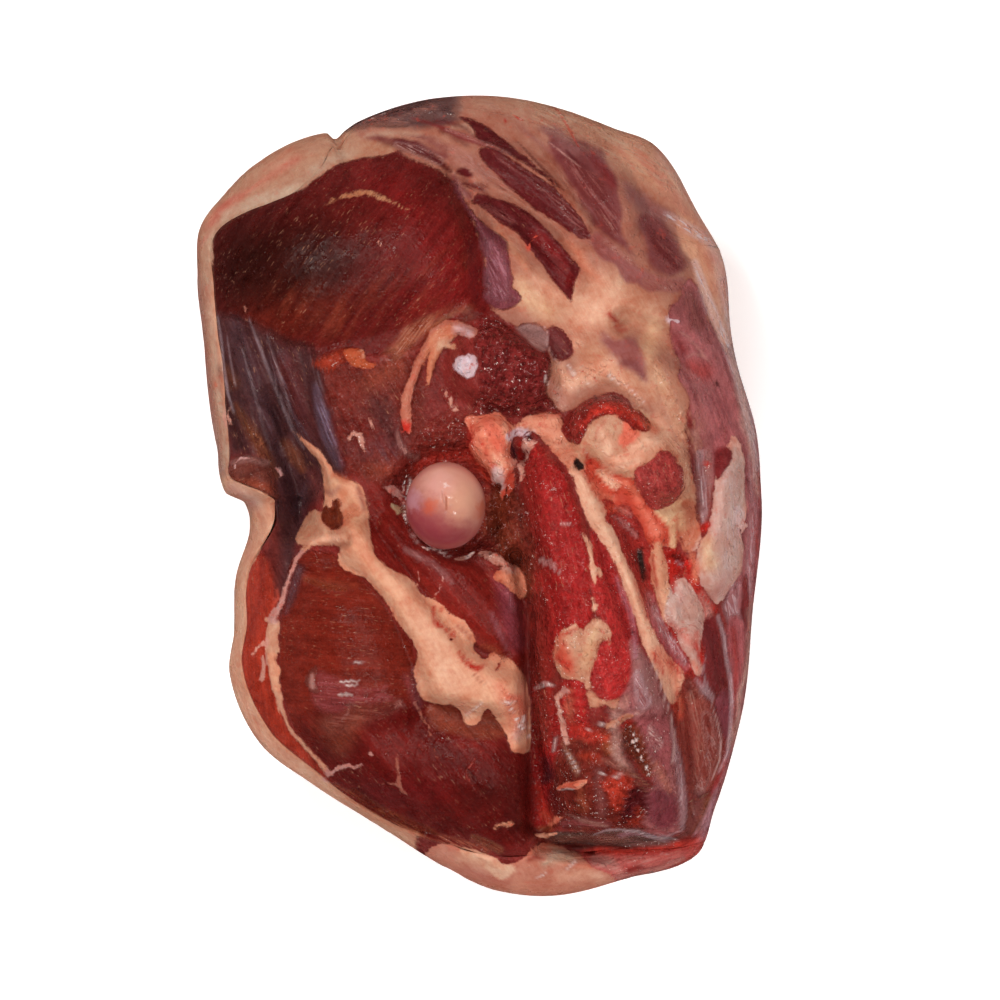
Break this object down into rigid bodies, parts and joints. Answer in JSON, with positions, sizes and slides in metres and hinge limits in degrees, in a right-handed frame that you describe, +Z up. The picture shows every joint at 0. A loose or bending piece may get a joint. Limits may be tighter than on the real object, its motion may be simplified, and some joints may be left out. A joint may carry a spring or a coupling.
{
  "type": "leg of lamb",
  "caption": "Raw leg of lamb lying on its outer fat, cut face up, with fat seams between the muscles and the ball of the thigh bone in the middle.",
  "frame": {"origin": "under the middle of the outline, on the surface that the leg lies on", "axes": "+Z up out of the cut face, +Y away from the shank end, +X across the leg towards the inner thigh"},
  "size_m": [0.1696, 0.2402, 0.1003],
  "materials": {
    "meat": "moist raw red meat with pale fat seams and mauve membrane",
    "fat": "moist cream-pink outer fat",
    "bone": "wet pink-white joint cartilage"
  },
  "bodies": {
    "root": {"lean_meat": "meat", "fat_cap": "fat", "femur_head": "bone"}
  },
  "joints": []
}
